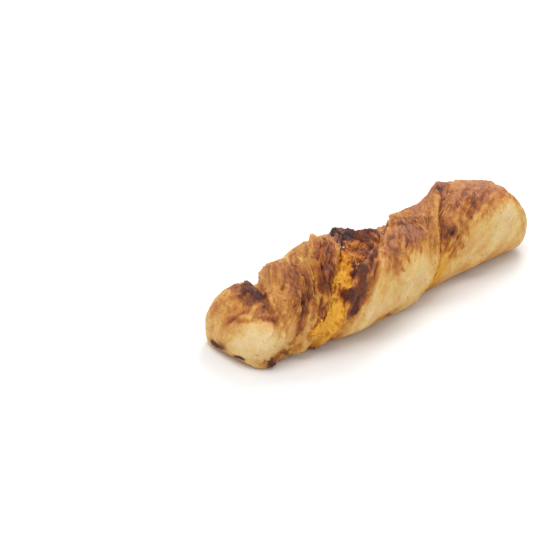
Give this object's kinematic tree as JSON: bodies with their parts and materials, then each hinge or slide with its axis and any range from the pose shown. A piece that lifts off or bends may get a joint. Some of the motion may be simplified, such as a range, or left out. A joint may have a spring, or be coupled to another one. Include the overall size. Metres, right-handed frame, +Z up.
{
  "type": "cheese straw",
  "caption": "Twisted puff pastry stick with a sheet of melted orange cheese between its layers, showing along both spiral edges, on a flat baked base.",
  "frame": {"origin": "middle of the straw's outline, on the flat that it was baked on", "axes": "+X along the straw towards its rounder end, +Z up, -Y towards the side that the picture shows"},
  "size_m": [0.189, 0.053, 0.0441],
  "materials": {
    "pastry": "golden brown baked puff pastry, satin to matt",
    "cheese": "melted orange cheese, slightly glossy, charred where it stands proud"
  },
  "bodies": {
    "root": {"pastry": "pastry", "cheese_filling": "cheese"}
  },
  "joints": []
}
